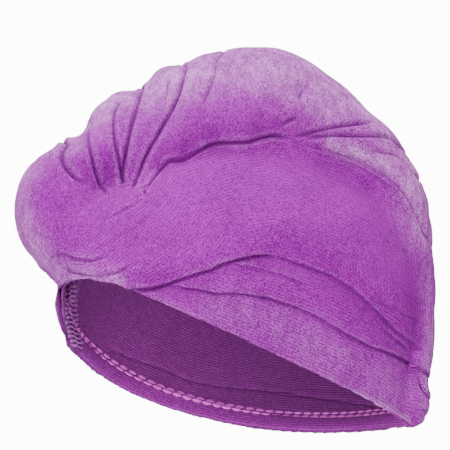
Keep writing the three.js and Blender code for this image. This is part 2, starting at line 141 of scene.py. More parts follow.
plain_floor()
white_room(seen=13.0, shining=0.45)
soft_light("overhead", (0.25, -0.1, 1.5), (0, 0, 0), 1.4, 56)
soft_light("beside the camera", (1.6, -0.6, 0.5), (0, 0, -0.03), 1.2, 32)
soft_light("low beside the camera", (1.4, -0.5, -0.5), (-0.05, 0, -0.11), 1.0, 13)
soft_light("front", (0.4, -1.6, 0.1), (0, 0, -0.05), 1.0, 7)
soft_light("behind", (0.5, 1.6, 0.3), (0, 0, -0.03), 1.0, 9)
print("lights ready")

# %% [markdown]
# Cap and tail are one bag of cloth on the real towel, and the twisted tail grows out
# of the cap at the forehead. Joining their solids and covering both with one even
# skin of small squares gives a single body that can be sculpted anywhere, with no
# line where the two met. Rounding the solids first takes the flats out of them.

# %% One body of cloth
tail_overlap = 0.8 * mm
skin_square = 1.4 * mm


def merged_shape(node):
    shape = bmesh.new()
    shape.from_mesh(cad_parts[node].data)
    bmesh.ops.remove_doubles(shape, verts=shape.verts, dist=0.001 * mm)
    bmesh.ops.join_triangles(
        shape, faces=shape.faces, angle_face_threshold=0.7, angle_shape_threshold=0.7
    )
    return shape


def object_of(shape, name):
    mesh = bpy.data.meshes.new(name)
    shape.to_mesh(mesh)
    shape.free()
    piece = bpy.data.objects.new(name, mesh)
    bpy.context.scene.collection.objects.link(piece)
    return piece


def apply_modifiers(piece):
    bpy.context.view_layer.update()
    seen = piece.evaluated_get(bpy.context.evaluated_depsgraph_get())
    mesh = bpy.data.meshes.new_from_object(seen)
    piece.modifiers.clear()
    piece.data = mesh
    return piece


def rounded(piece, levels):
    curve = piece.modifiers.new("rounded", "SUBSURF")
    curve.levels = curve.render_levels = levels
    return apply_modifiers(piece)


cap_shape = merged_shape("cap")
tail_shape = merged_shape("twisted_tail")
for corner in tail_shape.verts:
    corner.co += corner.normal * tail_overlap
cap_part = rounded(object_of(cap_shape, "cap part"), 2)
tail_part = rounded(object_of(tail_shape, "tail part"), 2)

both = bmesh.new()
both.from_mesh(cap_part.data)
both.from_mesh(tail_part.data)
bpy.data.objects.remove(cap_part)
bpy.data.objects.remove(tail_part)
cloth = object_of(both, "turban_cloth")
skin = cloth.modifiers.new("even skin", "REMESH")
skin.mode = "VOXEL"
skin.voxel_size = skin_square
skin.use_smooth_shade = True
apply_modifiers(cloth)
print("cloth faces", len(cloth.data.polygons))

# %% [markdown]
# From here on the skin's corners are kept as arrays: where each corner is, which
# way it faces, and which corners are its neighbours. Averaging each corner with its
# neighbours a few times relaxes the cloth, as steam does.

# %% Corners as arrays
inward_step = 0.6
outward_step = 0.62


def read_corners(mesh):
    places = np.empty(len(mesh.vertices) * 3)
    mesh.vertices.foreach_get("co", places)
    return places.reshape(-1, 3)


def write_corners(mesh, places):
    mesh.vertices.foreach_set("co", places.ravel())
    mesh.update()


def read_facing(mesh):
    facing = np.empty(len(mesh.vertices) * 3)
    mesh.vertex_normals.foreach_get("vector", facing)
    return facing.reshape(-1, 3)


def read_edges(mesh):
    edges = np.empty(len(mesh.edges) * 2, np.int64)
    mesh.edges.foreach_get("vertices", edges)
    return edges.reshape(-1, 2)


def average_round(values, edges):
    one, other = edges[:, 0], edges[:, 1]
    count = len(values)
    shares = np.bincount(one, minlength=count) + np.bincount(other, minlength=count)
    columns = values.reshape(count, -1)
    mean = np.empty_like(columns)
    for k in range(columns.shape[1]):
        mean[:, k] = np.bincount(one, columns[other, k], count)
        mean[:, k] += np.bincount(other, columns[one, k], count)
    return (mean / shares[:, None]).reshape(values.shape)


def relaxed(values, edges, times, strength=0.5):
    for _ in range(times):
        values = values + (average_round(values, edges) - values) * strength
    return values


def relaxed_in_place(values, edges, times, share=1.0):
    """Relaxes without shrinking: each inward step is followed by one outward."""
    for _ in range(times):
        values = relaxed(values, edges, 1, inward_step * share)
        values = relaxed(values, edges, 1, -outward_step * share)
    return values


def smooth_step(values):
    values = np.clip(values, 0, 1)
    return values * values * (3 - 2 * values)


corners = read_corners(cloth.data)
edges = read_edges(cloth.data)
corners = relaxed(relaxed_in_place(corners, edges, 30), edges, 3)
write_corners(cloth.data, corners)
facing = read_facing(cloth.data)
print("corners", len(corners))

# %% [markdown]
# On the wearer's left the rim arches up, where the twist pulls at it. The corners
# near it are lifted there, and the whole rim is ironed, so that it runs in one
# clean line. The hem is lifted in the same way further on.

# %% Arch the near rim
rim_corners = read_corners(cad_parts["rim_hem"].data)
rim_height = np.polyfit(rim_corners[:, 1], rim_corners[:, 2], 3)
arch_places = [-110, -97, -80, -66, -50, -30, -10, 15, 40]
arch_rise = [0, 1.5, 4.0, 6.0, 4.0, 3.4, 2.2, 0.6, 0]
arch_starts = 8 * mm
arch_full = 43 * mm
arch_reach = 16 * mm


def above_rim(places):
    return places[:, 2] - np.polyval(rim_height, places[:, 1])


def arched(places):
    """Lifts the near half of the rim, most where the cloth pulls up into the twist."""
    rise = np.interp(places[:, 1], np.array(arch_places) * mm, np.array(arch_rise) * mm)
    rise *= smooth_step((places[:, 0] - arch_starts) / (arch_full - arch_starts))
    rise *= np.exp(-((above_rim(places) / arch_reach) ** 2))
    return places + np.outer(rise, (0, 0, 1))


def ironed_rim(places, height, times):
    """Relaxes the rim in place, up to a height above it, fading over the last 5 mm."""
    share = smooth_step((height - above_rim(places)) / (5 * mm))[:, None]
    return relaxed_in_place(places, edges, times, share)


corners = ironed_rim(arched(corners), 12 * mm, 40)
write_corners(cloth.data, corners)
facing = read_facing(cloth.data)
print("highest lift", max(arch_rise), "mm")

# %% [markdown]
# The two solids meet in dips that the real cloth bridges: at the eye of the twist,
# where the knot runs into the panel, and where the panel runs in under the roll
# behind. There the skin is relaxed for much longer, so it hangs straight across.

# %% Calm the dips
calm_places = [
    dict(name="eye of the twist", wide=11, rounds=150,
         line=[(-82, 24), (-72, 20), (-60, 19), (-50, 21)]),
    dict(name="knot into panel", wide=8, rounds=150,
         line=[(-78, 2), (-80, -10), (-83, -20), (-84, -28)]),
    dict(name="behind the panel", wide=13, rounds=150,
         line=[(38, 42), (58, 35), (75, 24), (90, 8), (100, -10), (106, -28)]),
]


def side_view_of(places):
    """Where places lie in the tilted side view, the far side folded over onto the near."""
    out_of = places - np.array(view_middle)
    out_of[:, 0] = np.abs(out_of[:, 0])
    return np.stack([out_of @ np.array(side_right), out_of @ np.array(side_up)], 1)


def drawn(line, step=2 * mm):
    """A line of the side view, as places on a smooth curve."""
    return smooth_line(np.array(line) * mm, step)


def distance_to(line, seen):
    """How far each place of the side view is from a drawn line."""
    line = drawn(line)
    closest = np.empty(len(seen))
    for part in np.array_split(np.arange(len(seen)), 60):
        gaps = seen[part][:, None] - line[None]
        closest[part] = np.sqrt((gaps**2).sum(2).min(1))
    return closest


def smooth_line(points, step):
    """A curve through the points, with a place on it every step."""
    points = np.array(points, float)
    ends = np.vstack([2 * points[0] - points[1], points, 2 * points[-1] - points[-2]])
    places = []
    for k in range(1, len(ends) - 2):
        a, b, c, d = ends[k - 1 : k + 3]
        for t in np.linspace(0, 1, 12, endpoint=False):
            places.append(
                0.5 * (2 * b + (c - a) * t + (2 * a - 5 * b + 4 * c - d) * t**2
                       + (3 * b - a - 3 * c + d) * t**3)
            )
    places.append(points[-1])
    places = np.array(places)
    along = np.concatenate([[0], np.cumsum(np.linalg.norm(np.diff(places, axis=0), axis=1))])
    count = max(2, int(along[-1] / step) + 1)
    wanted = np.linspace(0, along[-1], count)
    return np.stack([np.interp(wanted, along, places[:, k]) for k in range(places.shape[1])], 1)


# Only corners that face out of the body, toward the side view, are calmed.
for calm in calm_places:
    seen = side_view_of(corners)
    away = distance_to(calm["line"], seen)
    outward = np.abs(facing[:, 0]) * side_toward.x + facing[:, 2] * side_toward.z
    outward *= np.sign(facing[:, 0]) == np.sign(corners[:, 0])
    share = (np.exp(-((away / (calm["wide"] * mm)) ** 2)) * np.clip(outward * 4, 0, 1))[:, None]
    corners = relaxed(corners, edges, calm["rounds"], inward_step * share)
    write_corners(cloth.data, corners)
    facing = read_facing(cloth.data)
    print("calmed the", calm["name"])

# %% [markdown]
# Folds in soft cloth are lines where one layer dips under another. Each is drawn in
# the tilted side view, in millimetres behind and above the middle of the view, and
# a ray from the camera carries it onto the body. A fold that runs over the top or
# round the back goes on to the same fold of the far side, which is drawn a little
# apart from this one, because no twist is the same on both sides.

# %% Folds, as lines drawn on the side view
# kind: both sides of a groove dip into it, and a lap lies with its left side on top.
# deep and broad are the sharp line's own, valley is the soft dip round it, and
# across says which end of the line goes on to the far side.
folds = [
    dict(name="first twist", kind="groove", deep=3.0, broad=1.4, valley=1.6, across="start",
         line=[(-86, 45), (-88.5, 42), (-89.5, 38), (-89, 34), (-87, 31), (-84, 27.5),
               (-79, 24), (-72, 21)]),
    dict(name="second twist", kind="groove", deep=2.2, broad=1.0, valley=0.8, across="start",
         line=[(-73, 59), (-75.5, 53.5), (-75.5, 47), (-73.5, 39), (-72, 32.5), (-70, 26),
               (-67.5, 20.5), (-63, 15.5)]),
    dict(name="third twist", kind="groove", deep=2.2, broad=1.0, valley=0.8, across=None,
         line=[(-55, 73), (-58.3, 67.7), (-60.5, 62), (-61.3, 56.7), (-60.8, 50), (-60, 43.5),
               (-58.3, 38), (-57.6, 32), (-57.2, 26), (-56.5, 21)]),
    dict(name="fourth twist", kind="groove", deep=3.2, broad=1.0, valley=1.8, across="start",
         line=[(-45, 76), (-47.3, 68.8), (-49.5, 61), (-51.7, 53.4), (-53.4, 45.7),
               (-54.5, 40), (-55.3, 33.5), (-56.2, 27), (-55.5, 20)]),
    dict(name="short pleat", kind="groove", deep=1.4, broad=1.2, valley=0.3, across=None,
         line=[(-29, 83), (-31.4, 77.6), (-32, 72), (-34, 66)]),
    dict(name="fifth twist", kind="groove", deep=2.2, broad=1.0, valley=2.2, across="start",
         line=[(-21, 87.5), (-22.6, 81), (-24.8, 73), (-28, 65.5), (-32, 57.8), (-35.8, 51),
               (-39, 45.7), (-43, 38), (-46.5, 30.5), (-49.5, 24), (-51.5, 18)]),
    dict(name="sixth twist", kind="groove", deep=1.2, broad=1.3, valley=1.2, across="start",
         line=[(1, 96.3), (-2.2, 93.8), (-4.6, 89.7), (-5.2, 83.6), (-8.8, 73.7), (-14, 62)]),
    dict(name="roll on the panel", kind="groove", deep=2.5, broad=1.0, valley=2.4, across=None,
         line=[(-50, 20.5), (-45, 20.4), (-42.4, 22), (-39.6, 25.3), (-37.4, 28), (-33.6, 32.5),
               (-30.3, 35.2), (-24.8, 35.4), (-21.5, 36.3), (-17, 39), (-12.7, 41.5),
               (-6.6, 44.3), (-0.5, 45), (12, 45.3), (17, 46.8), (24, 48.6), (29, 49),
               (34, 47.7), (40, 47.6)]),
    dict(name="eye pleat", kind="groove", deep=1.8, broad=0.9, valley=0.2, across=None,
         line=[(-42.5, 21.5), (-44.2, 18.5), (-45, 14.5)]),
    dict(name="eye line", kind="groove", deep=0.7, broad=1.0, valley=0.0, across=None,
         line=[(-78, 18), (-70, 16.8), (-62, 17.2), (-55, 19)]),
    dict(name="panel's front edge", kind="lap", deep=1.3, broad=1.4, valley=0.8, across=None,
         line=[(-42.4, 14.9), (-47, 12), (-52, 8.6), (-61, 4), (-70, 0.5)]),
    dict(name="upper fold one", kind="groove", deep=2.2, broad=1.1, valley=0.8, across=None,
         line=[(33, 48), (43.7, 49.8), (51, 51.9), (60.8, 54), (71.8, 55.5), (84, 57)]),
    dict(name="upper fold two", kind="groove", deep=2.2, broad=1.2, valley=0.8, across="end",
         line=[(38.8, 47.4), (51, 48.6), (60.8, 49.4), (73, 49.2), (85.3, 49), (91.3, 47.3),
               (95.7, 43)]),
    dict(name="upper fold three", kind="groove", deep=1.8, broad=1.3, valley=1.0, across="end",
         line=[(75.4, 39.2), (82.8, 40.4), (90, 39.7), (96.3, 37), (101, 32), (106, 26)]),
    dict(name="upper fold four", kind="groove", deep=1.9, broad=1.2, valley=0.6, across=None,
         line=[(29, 53), (34, 56.8), (42, 60)]),
    dict(name="crown dimple", kind="groove", deep=1.0, broad=1.6, valley=1.8, across=None,
         line=[(47, 81), (42.4, 72.6), (40, 65)]),
    dict(name="panel's back edge", kind="groove", deep=1.2, broad=1.2, valley=1.0, across="end",
         line=[(40, 44.3), (50, 42.5), (59, 40), (72.6, 35.7), (85, 29), (96, 21), (104.5, 8),
               (110, -6)]),
    dict(name="second back edge", kind="groove", deep=0.9, broad=1.1, valley=0.3, across=None,
         line=[(52, 39), (70, 33), (85, 24.7), (97, 14.5), (104, 3)]),
    dict(name="panel overlap", kind="lap", deep=2.4, broad=1.3, valley=0.6, across=None,
         line=[(-58, -36), (-48, -34.7), (-39, -33.6), (-32.5, -31.6), (-26, -29.2), (-17, -26),
               (-8.3, -23.7), (-2.8, -20.9), (4.4, -18.7), (12, -16.8), (18, -15.8),
               (25, -16.4), (33, -18.5)]),
    dict(name="overlap's far end", kind="lap", deep=1.2, broad=1.5, valley=0.8, across=None,
         line=[(24, -16.6), (31, -17.8), (40.7, -20.9), (49.5, -24.2), (58.3, -27.5),
               (65, -31.4), (71.5, -35.8), (77, -40.5), (84, -47.5), (92, -55.5), (100, -62),
               (106, -67), (111, -73)]),
    dict(name="gather", kind="groove", deep=1.2, broad=1.1, valley=0.5, across=None,
         line=[(84, -55), (90, -60), (97, -66), (104, -71)]),
    dict(name="branch", kind="lap", deep=0.9, broad=1.2, valley=0.2, across=None,
         line=[(-4, -20.6), (9, -21.8), (18, -24), (27, -26.2), (36, -29), (50, -34.8)]),
    dict(name="band crease", kind="lap", deep=1.8, broad=1.2, valley=0.6, across="end",
         line=[(-34, -32), (-23.7, -33.8), (-12.7, -35.2), (-5.5, -37), (1, -36.8),
               (8.8, -37.2), (16.5, -38.3), (23, -39.4), (28.6, -40.9), (36.3, -43.5),
               (43, -46), (49.5, -49), (56, -52.6), (62.7, -56.7), (69.3, -60.5), (76, -64),
               (82.5, -67), (89, -69), (95.7, -72), (102.3, -75.4), (107.8, -79)]),
    dict(name="band dimple", kind="groove", deep=0.5, broad=1.1, valley=0.3, across=None,
         line=[(0, -45.5), (5, -47), (12, -48.6)]),
    dict(name="nape fold", kind="groove", deep=2.2, broad=1.5, valley=0.9, across="end",
         line=[(103, -76), (105.6, -81.4), (107, -87), (111, -93)]),
    dict(name="nape fold low", kind="groove", deep=1.8, broad=1.4, valley=0.6, across="end",
         line=[(99, -99), (104, -101), (108, -102), (112, -102)]),
    dict(name="under the knot", kind="lap", deep=1.2, broad=1.3, valley=0.0, across="start",
         line=[(-94, -33), (-90, -33.5), (-84, -32.5), (-78, -32)]),
    dict(name="pucker over the hem", kind="groove", deep=1.0, broad=1.1, valley=0.5, across=None,
         line=[(-69, -64), (-59, -70), (-49, -74), (-39, -77.3), (-29, -81.2), (-19, -85.5),
               (-2, -88.5), (20, -90.8), (40, -93.5), (58, -95.7), (74, -98), (88, -100)]),
    dict(name="knot crease", kind="groove", deep=1.4, broad=1.3, valley=0.4, across=None,
         line=[(-99, -19.3), (-95.2, -17.6), (-89.7, -16.8), (-85.3, -14)]),
    dict(name="knot pucker", kind="groove", deep=1.8, broad=1.0, valley=0.6, across=None,
         line=[(-94, -22), (-84, -26), (-74, -28), (-63, -27), (-54, -24), (-46, -19)]),
    dict(name="knot pucker high", kind="groove", deep=1.4, broad=1.0, valley=0.4, across=None,
         line=[(-97, -12), (-88, -17), (-78, -19.5), (-68, -18.5), (-58, -14)]),
    dict(name="knot pucker front", kind="groove", deep=1.2, broad=1.1, valley=0.4, across=None,
         line=[(-107, -2), (-99, -7), (-90, -8)]),
    dict(name="knot hollow", kind="groove", deep=0.2, broad=2.0, valley=1.0, across=None,
         line=[(-106, 9), (-97, 9), (-86, 7), (-76, 8)]),
]
print(len(folds), "folds drawn")

# %% Carry the lines onto the body
step_length = 1.0 * mm
far_drift = 3.0 * mm
bridge_sink = 18 * mm
eye = view_middle + side_toward * view_distance


def body_tree():
    return BVHTree.FromPolygons(
        [Vector(p) for p in read_corners(cloth.data)],
        [tuple(f.vertices) for f in cloth.data.polygons],
    )


def carried_line(tree, line, side):
    """Places and facings on the body along a line drawn in the side view."""
    found = []
    for right, up in drawn(line, step_length):
        if side < 0:
            right, up = (
                right + far_drift * math.sin(up / (22 * mm) + 1),
                up + 0.6 * far_drift * math.cos(right / (25 * mm)),
            )
        aim = view_middle + side_right * right + side_up * up
        start, toward = eye.copy(), (aim - eye).normalized()
        if side < 0:
            start.x, toward.x = -start.x, -toward.x
        place, normal, _, _ = tree.ray_cast(start, toward)
        if place is not None:
            found.append((*place, *normal))
    return np.array(found)


def bridge(tree, one, other):
    """The way over the top or round the back from one end of a line to the other."""
    start, stop = Vector(one[:3]), Vector(other[:3])
    outward = (Vector(one[3:]) + Vector(other[3:])).normalized()
    centre = (start + stop) / 2 - outward * bridge_sink
    count = max(2, int((start - stop).length * 1.3 / step_length))
    found = []
    for k in range(1, count):
        way = (start - centre).normalized().slerp((stop - centre).normalized(), k / count)
        place, normal, _, _ = tree.ray_cast(centre + way * 0.2, -way)
        if place is not None:
            found.append((*place, *normal))
    return np.array(found).reshape(-1, 6)


def fold_routes(tree):
    routes = []
    for fold in folds:
        near = carried_line(tree, fold["line"], 1)
        far = carried_line(tree, fold["line"], -1)[::-1]
        if fold["across"] == "end":
            routes.append((fold, np.vstack([near, bridge(tree, near[-1], far[0]), far])))
        elif fold["across"] == "start":
            routes.append((fold, np.vstack([far, bridge(tree, far[-1], near[0]), near])))
        else:
            routes += [(fold, near), (fold, far)]
    return routes


routes = fold_routes(body_tree())
print(len(routes), "lines on the body,", sum(len(route) for _, route in routes), "places")

# %% [markdown]
# To press a fold into the skin, each corner near its line looks up the closest place
# on it and how far to the side it lies. The soft valleys are pressed first. Then the
# squares near the lines are cut smaller, because a crease is much finer than the
# skin, and the sharp creases are pressed into those. Both fade at a line's ends.

# %% Where each corner lies beside a line
reach = 16 * mm
same_layer = 11 * mm
fade_length = 14 * mm


def beside(route):
    """For the corners near a line: which they are, how far to its left, how much it fades,
    and the way to the left."""
    places, up = route[:, :3], route[:, 3:]
    places = np.array([places[max(0, k - 2) : k + 3].mean(0) for k in range(len(places))])
    up = np.array([up[max(0, k - 3) : k + 4].mean(0) for k in range(len(up))])
    up /= np.linalg.norm(up, axis=1)[:, None]
    way = np.gradient(places, axis=0)
    way /= np.linalg.norm(way, axis=1)[:, None] + 1e-12
    left = np.cross(up, way)
    run = np.concatenate([[0], np.cumsum(np.linalg.norm(np.diff(places, axis=0), axis=1))])
    low, high = places.min(0) - reach, places.max(0) + reach
    near = np.nonzero(((corners > low) & (corners < high)).all(1))[0]
    found = []
    for part in np.array_split(near, max(1, len(near) // 3000)):
        gaps = corners[part][:, None, :] - places[None]
        closest = (gaps**2).sum(2).argmin(1)
        gap = gaps[np.arange(len(part)), closest]
        off = (gap * left[closest]).sum(1)
        height = (gap * up[closest]).sum(1)
        beyond = np.abs((gap * way[closest]).sum(1))
        ends = np.minimum(run[closest], run[-1] - run[closest]) - beyond
        fade = smooth_step(ends / min(fade_length, run[-1] / 2.5))
        fade *= ((facing[part] * up[closest]).sum(1) > 0) * (np.abs(height) < same_layer)
        kept = (fade > 0) & (np.abs(off) < reach)
        found.append((part[kept], off[kept], fade[kept], left[closest][kept]))
    return [np.concatenate(column) for column in zip(*found)]


# %% Press the soft valleys
valley_width = 6.5 * mm
wander = 0.5 * mm
wander_scale = 55
body_middle = np.array((0, -8, -50)) * mm
pushes = [
    dict(name="neck of the knot", at=(-82, 51), wide=9, out=-6),
    dict(name="third turn", at=(-64, 72), wide=8, out=3.5),
    dict(name="over the nape", at=(117, -66), wide=9, out=1.5),
    dict(name="gathers over the loop", at=(105, -75), wide=8, out=2.2),
    dict(name="notch at the nape", at=(115, -84), wide=5, out=-8),
    dict(name="end of the nape", at=(117, -100), wide=8, out=-3),
    dict(name="foot of the knot", at=(-102, -19), wide=6, out=-2),
    dict(name="under the knot", at=(-98, -34), wide=6, out=-7),
]

# A push brings the outline out or in, where a whole bulge differs from the solid.
offsets = np.zeros(len(corners))
outer = (facing * (corners - body_middle)).sum(1) > 0
for push in pushes:
    gap = np.linalg.norm(side_view_of(corners) - np.array(push["at"]) * mm, axis=1)
    offsets += outer * push["out"] * mm * np.exp(-((gap / (push["wide"] * mm)) ** 2))
for fold, route in routes:
    part, off, fade, left = beside(route)
    dip = np.exp(-((off / valley_width) ** 2)) - 0.35 * np.exp(
        -(((np.abs(off) - 1.6 * valley_width) / valley_width) ** 2)
    )
    offsets[part] -= fold["valley"] * mm * dip * fade
for k, place in enumerate(corners):
    offsets[k] += wander * noise_field.noise(Vector(place) * wander_scale)
corners = corners + facing * offsets[:, None]
write_corners(cloth.data, corners)
print("deepest valley", round(-offsets.min() / mm, 1), "mm")

# %% Cut the squares near the lines smaller
fine_reach = 4.0 * mm


def cut_smaller(routes, near):
    """Halve every square whose corners all lie close to a line."""
    count = sum(len(route) for _, route in routes)
    line_places = kdtree.KDTree(count)
    for k, place in enumerate(np.vstack([route[:, :3] for _, route in routes])):
        line_places.insert(Vector(place), k)
    line_places.balance()
    shape = bmesh.new()
    shape.from_mesh(cloth.data)
    close = {v for v in shape.verts if line_places.find(v.co)[2] < near}
    chosen = {e for f in shape.faces if all(v in close for v in f.verts) for e in f.edges}
    bmesh.ops.subdivide_edges(shape, edges=list(chosen), cuts=1, use_grid_fill=True)
    shape.to_mesh(cloth.data)
    shape.free()
    cloth.data.update()


routes = fold_routes(body_tree())
cut_smaller(routes, fine_reach)
corners, edges = read_corners(cloth.data), read_edges(cloth.data)
corners = relaxed(corners, edges, 2)
write_corners(cloth.data, corners)
facing = relaxed(read_facing(cloth.data), edges, 6)
facing /= np.linalg.norm(facing, axis=1)[:, None]
print("corners", len(corners), "faces", len(cloth.data.polygons))

# %% [markdown]
# Which corners line the hollow has to be known, since the inside is darker, flatter
# knit and the outside plush. A corner is inside when it can see the hollow's middle.

# %% Inside and outside
hollow_middle = Vector((0, -8 * mm, -60 * mm))


def lines_hollow(tree):
    """1 for each corner that a ray can leave, just off the cloth, for the middle."""
    inside = np.zeros(len(corners))
    inward = ((corners - np.array(hollow_middle)) * facing).sum(1) < 0
    for k in np.nonzero(inward)[0]:
        start = Vector(corners[k] + facing[k] * 1.5 * mm)
        way = hollow_middle - start
        inside[k] = tree.ray_cast(start, way.normalized(), way.length)[0] is None
    return inside


inside = lines_hollow(body_tree())
inside = np.clip(relaxed(inside, edges, 2) * 1.6 - 0.3, 0, 1)
print("inside corners", int(inside.sum()))

# %% Press the sharp creases
lip_reach = 3.0 * mm
lap_reach = 7.0 * mm
darkest_at = 2.2


def groove_profile(off, fold):
    """How far a corner goes out, and how far to the left, beside a groove."""
    broad, size = fold["broad"] * mm, np.abs(off)
    out = -fold["deep"] * np.exp(-((size / broad) ** 1.4))
    out += 0.22 * fold["deep"] * np.exp(-(((size - 2.4 * broad) / (1.5 * broad)) ** 2))
    pinch = -0.35 * off * np.exp(-((size / (1.8 * broad)) ** 2))
    return out * mm, pinch


def lap_profile(off, fold):
    """The same beside a lap, whose left side rises and leans over its right."""
    broad = fold["broad"] * mm
    above = smooth_step(off / broad + 0.5)
    dip = np.exp(-((np.minimum(off + 0.3 * broad, 0) / (1.5 * broad)) ** 2))
    out = -fold["deep"] * dip * (1 - above)
    out += 0.45 * fold["deep"] * above * np.exp(-np.maximum(off, 0) / lap_reach)
    lip = -0.4 * fold["deep"] * mm * above * np.exp(-((off / lip_reach) ** 2))
    return out * mm, lip


out_by = np.zeros(len(corners))
aside = np.zeros((len(corners), 3))
crease_shade = np.zeros(len(corners))
for fold, route in routes:
    part, off, fade, left = beside(route)
    profile = groove_profile if fold["kind"] == "groove" else lap_profile
    out, to_left = profile(off, fold)
    out_by[part] += out * fade
    aside[part] += left * (to_left * fade)[:, None]
    thin = np.exp(-(((off + 0.2 * fold["broad"] * mm) / (0.75 * fold["broad"] * mm)) ** 2))
    shade = thin * fade * min(1, fold["deep"] / darkest_at)
    crease_shade[part] = np.maximum(crease_shade[part], shade)
corners = ironed_rim(corners + facing * out_by[:, None] + aside, 5 * mm, 30)
write_corners(cloth.data, corners)
facing = read_facing(cloth.data)
print("deepest crease", round(-out_by.min() / mm, 1), "mm")

# %% [markdown]
# Two more things are measured for the colour. A painted sheen makes the pile pale
# lilac in places drawn on the side view, where it faces up to the overhead light or
# turns away at the outline, and a painted highlight lies where the cloth bends
# outward. And the knit has rows, which run along the rim on the band and on the
# inside, and along the arch of the panel.

# %% Painted sheen and knit rows
row_pitch = 1.6 * mm
flattest_bend = 1 / (28 * mm)
sharpest_bend = 1 / (5.6 * mm)
# Places of a painted sheen: pale lilac laid where the pile faces up to the overhead light or
# turns away at the outline, with a little on the band.
painted_sheen_places = [
    dict(name="top of the roll", wide=20, much=1.0,
         line=[(-42, 82), (-14, 92), (14, 94), (41, 86), (63, 74)]),
    dict(name="second and third turn", wide=12, much=0.95,
         line=[(-85, 56), (-74, 62), (-62, 70), (-52, 76)]),
    dict(name="front of the knot", wide=10, much=0.75,
         line=[(-84, 48), (-98, 44), (-106, 34), (-112, 20), (-112, 4), (-104, -10), (-97, -18)]),
    dict(name="foot of the knot", wide=7, much=0.7,
         line=[(-92, -20), (-84, -26), (-72, -29), (-58, -30)]),
    dict(name="behind the roll", wide=13, much=0.95,
         line=[(63, 74), (80, 64), (94, 50), (103, 34), (108, 14), (112, -4)]),
    dict(name="behind the panel", wide=5, much=0.95,
         line=[(58, 43), (70, 39.5), (84, 33.5), (94, 26.5), (102, 17), (107, 8)]),
    dict(name="near rim", wide=4, much=0.85,
         line=[(-60, -34), (-41, -40), (-5, -56), (34, -74), (64, -88), (95, -104)]),
    dict(name="nape", wide=8, much=0.6, line=[(114, -20), (115, -50), (112, -75), (110, -100)]),
    dict(name="band", wide=15, much=0.26, line=[(0, -45), (30, -55), (60, -72), (90, -90)]),
]
arch = [(-75, -8), (-61, 4), (-45, 15), (-32, 33), (-17, 40), (0, 46), (15, 48), (30, 50),
        (48, 44), (68, 36), (85, 27), (98, 16), (107, 2), (111, -12), (113, -50), (113, -90)]
overlap_line = [(-110, -45), (-58, -37), (-39, -33.6), (-26, -29.2), (-8, -23.7), (4, -18.7),
                (18, -15.8), (31, -17.8), (49.5, -24.2), (65, -31.4), (76, -38.5), (92, -46),
                (115, -58)]


def outward_bend():
    """From 0 on cloth that is flat or dips to 1 where it bends out most sharply."""
    one, other, count = edges[:, 0], edges[:, 1], len(corners)
    rise = ((corners - average_round(corners, edges)) * facing).sum(1)
    length = ((corners[one] - corners[other]) ** 2).sum(1)
    around = np.bincount(one, length, count) + np.bincount(other, length, count)
    around /= np.bincount(one, minlength=count) + np.bincount(other, minlength=count)
    bend = relaxed(2 * rise / around, edges, 8)
    return np.clip((bend - flattest_bend) / (sharpest_bend - flattest_bend), 0, 1)


# Painted sheen: how much pale lilac each corner gets from the places above, none inside.
def painted_sheen_share():
    seen = side_view_of(corners)
    painted_sheen = np.zeros(len(corners))
    for spot in painted_sheen_places:
        away = distance_to(spot["line"], seen) / (spot["wide"] * mm)
        painted_sheen = np.maximum(painted_sheen, spot["much"] * np.exp(-(away**2)))
    return painted_sheen * (inside < 0.5)


def knit_rows():
    """How many rows lie between each corner and the rim, or the arch's top, and how
    clearly they show: not at all on the roll, and a little less on the panel."""
    seen = side_view_of(corners)
    outside = inside < 0.5
    edge, top = np.array(overlap_line) * mm, np.array(arch) * mm
    on_panel = outside & (seen[:, 1] > np.interp(seen[:, 0], edge[:, 0], edge[:, 1]))
    on_roll = outside & (seen[:, 1] > np.interp(seen[:, 0], top[:, 0], top[:, 1]))
    rows = np.where(on_panel, distance_to(arch, seen), above_rim(corners)) / row_pitch
    strength = np.where(on_roll, 0.0, np.where(on_panel, 0.8, 1.0))
    return rows, relaxed(strength, edges, 6)


bend, painted_sheen = outward_bend(), painted_sheen_share()
rows, row_strength = knit_rows()


def store(mesh, name, values):
    attribute = mesh.attributes.get(name) or mesh.attributes.new(name, "FLOAT", "POINT")
    attribute.data.foreach_set("value", values.astype(np.float32))


print("rows", round(rows.min()), "to", round(rows.max()))

# %% [markdown]
# Plush velour shows two tones, deep magenta and a paler magenta, which drift at
# random in patches, and the loops give a fine speckle. Over them lies a painted sheen
# of pale lilac where the pile faces up to the light or turns away at the outline, a
# painted highlight on outward bends and painted shade in the creases. Fine knit rows
# follow the cloth.

# %% Velour
velour_deep = (0.15, 0.001, 0.19, 1)
velour_pale = (0.51, 0.002, 0.575, 1)
# The pale lilac of the painted sheen and the painted highlight.
painted_sheen_lilac = (0.96, 0.35, 1.0, 1)
velour_shadow = (0.085, 0.008, 0.115, 1)
lining_deep = (0.16, 0.008, 0.165, 1)
lining_pale = (0.46, 0.075, 0.48, 1)


